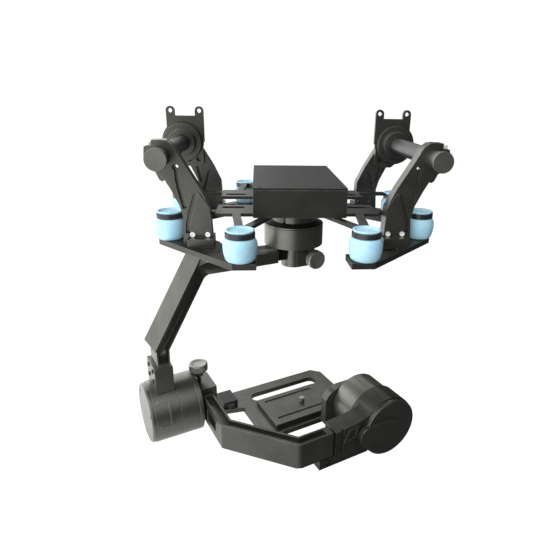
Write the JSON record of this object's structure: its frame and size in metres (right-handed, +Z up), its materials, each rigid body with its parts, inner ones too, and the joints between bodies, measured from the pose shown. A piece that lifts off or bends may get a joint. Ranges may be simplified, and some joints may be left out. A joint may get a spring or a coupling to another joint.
{
  "type": "camera gimbal stabilizer",
  "caption": "Three-axis motorised camera gimbal hung from two rails on rubber dampers, with a control box, pan, roll and tilt motors and a camera tray.",
  "frame": {"origin": "where the pan axis meets the top face of the control box lid", "axes": "+X to the right of the carrier, +Y away from the carrier's front, +Z up; everything below the pan motor rests turned 65 degrees clockwise seen from above, so the camera faces (0.906, 0.423, 0)"},
  "size_m": [0.2986, 0.2648, 0.348],
  "materials": {
    "black_anodised": "satin anodised, fine bead-blast",
    "black_plate": "satin anodised, machined edges",
    "carbon_tube": "satin woven carbon fibre",
    "damper_rubber": "soft matt silicone rubber",
    "steel_screw": "zinc-plated socket head",
    "black_screw": "black oxide",
    "grey_knob": "grey anodised, knurled",
    "bearing_steel": "ground",
    "copper_coils": "enamelled copper wire on a laminated core",
    "magnet": "nickel plated",
    "rotor_metal": "satin anodised, turned",
    "circuit_board": "solder mask",
    "black_plastic": "moulded"
  },
  "bodies": {
    "hanger": {"rail_tubes": "carbon_tube", "rail_end_caps": "black_anodised", "hanger_plates": "black_anodised", "rail_flanges": "black_anodised", "leg_front_left": "black_anodised", "leg_front_right": "black_anodised", "leg_rear_left": "black_anodised", "leg_rear_right": "black_anodised", "leg_clamp_screws": "steel_screw", "leg_panel_screws": "steel_screw", "leg_foot_screws": "black_screw", "isolator_plate_left": "black_plate", "isolator_plate_right": "black_plate", "dampers": "damper_rubber"},
    "stage": {"damper_rings": "black_plate", "suspension_plate": "black_plate", "control_box": "black_anodised", "control_box_lid": "black_anodised", "lid_screws": "black_screw", "control_board": "circuit_board", "pan_motor_base": "black_anodised", "pan_stator": "copper_coils", "pan_bearings": "bearing_steel"},
    "pan_hub": {"pan_rotor": "rotor_metal", "pan_magnets": "magnet", "pan_shaft": "bearing_steel", "pan_hub_clamp": "black_anodised"},
    "pan_knob": {"pan_thumbscrew": "grey_knob"},
    "pan_arm": {"pan_arm": "black_anodised"},
    "roll_mount": {"roll_bracket": "black_anodised", "roll_bracket_screws": "black_screw", "roll_motor_case": "black_anodised", "roll_motor_cap": "black_anodised", "roll_cap_screws": "black_screw", "roll_stator": "copper_coils", "roll_bearings": "bearing_steel"},
    "roll_hub": {"roll_rotor": "rotor_metal", "roll_magnets": "magnet", "roll_shaft": "bearing_steel", "roll_output_clamp": "black_anodised"},
    "roll_knob": {"roll_thumbscrew": "grey_knob"},
    "roll_arm": {"roll_arm": "black_anodised"},
    "tilt_mount": {"tilt_bracket": "black_anodised", "tilt_lock_screw": "black_screw", "tilt_motor_cap": "black_anodised", "tilt_stator": "copper_coils", "tilt_bearings": "bearing_steel"},
    "tray": {"tilt_rotor": "rotor_metal", "tilt_magnets": "magnet", "tilt_shaft": "bearing_steel", "camera_upright": "black_anodised", "camera_tray": "black_anodised", "tray_screws": "black_screw", "motion_sensor": "black_plastic"},
    "camera_slide": {"camera_plate": "black_anodised"},
    "camera_screw": {"camera_screw": "grey_knob"}
  },
  "joints": [
    {"name": "float", "type": "slide", "parent": "hanger", "child": "stage", "axis": [0, 0, 1], "range_m": [-0.002, 0.002], "stiffness_N_per_m": 9000, "deforming": ["dampers"]},
    {"name": "pan", "type": "hinge", "parent": "stage", "child": "pan_hub", "pos_m": [0, 0, -0.0488], "axis": [0, 0, 1], "continuous": true},
    {"name": "pan_knob_turn", "type": "hinge", "parent": "pan_hub", "child": "pan_knob", "pos_m": [0.01951, -0.01628, -0.082], "axis": [0.4226, -0.9063, 0], "continuous": true},
    {"name": "pan_balance", "type": "slide", "parent": "pan_hub", "child": "pan_arm", "axis": [0.9063, 0.4226, 0], "range_m": [-0.008, 0.01]},
    {"name": "roll_height", "type": "slide", "parent": "pan_arm", "child": "roll_mount", "axis": [0, 0, 1], "range_m": [-0.012, 0.003]},
    {"name": "roll", "type": "hinge", "parent": "roll_mount", "child": "roll_hub", "pos_m": [-0.12326, -0.05748, -0.224], "axis": [0.9063, 0.4226, 0], "range_deg": [-40, 40]},
    {"name": "roll_knob_turn", "type": "hinge", "parent": "roll_hub", "child": "roll_knob", "pos_m": [-0.09885, -0.04168, -0.1898], "axis": [0, 0, 1], "continuous": true},
    {"name": "roll_balance", "type": "slide", "parent": "roll_hub", "child": "roll_arm", "axis": [0.4226, -0.9063, 0], "range_m": [-0.01, 0.01]},
    {"name": "tilt_balance", "type": "slide", "parent": "roll_arm", "child": "tilt_mount", "axis": [0.9063, 0.4226, 0], "range_m": [-0.001, 0.012]},
    {"name": "tilt", "type": "hinge", "parent": "tilt_mount", "child": "tray", "pos_m": [0.0761, -0.08037, -0.224], "axis": [0.4226, -0.9063, 0], "range_deg": [-90, 45]},
    {"name": "camera_slide", "type": "slide", "parent": "tray", "child": "camera_slide", "axis": [0.9063, 0.4226, 0], "range_m": [-0.015, 0.015]},
    {"name": "camera_screw_turn", "type": "hinge", "parent": "camera_slide", "child": "camera_screw", "pos_m": [0.01359, 0.00634, -0.27], "axis": [0, 0, 1], "continuous": true}
  ]
}
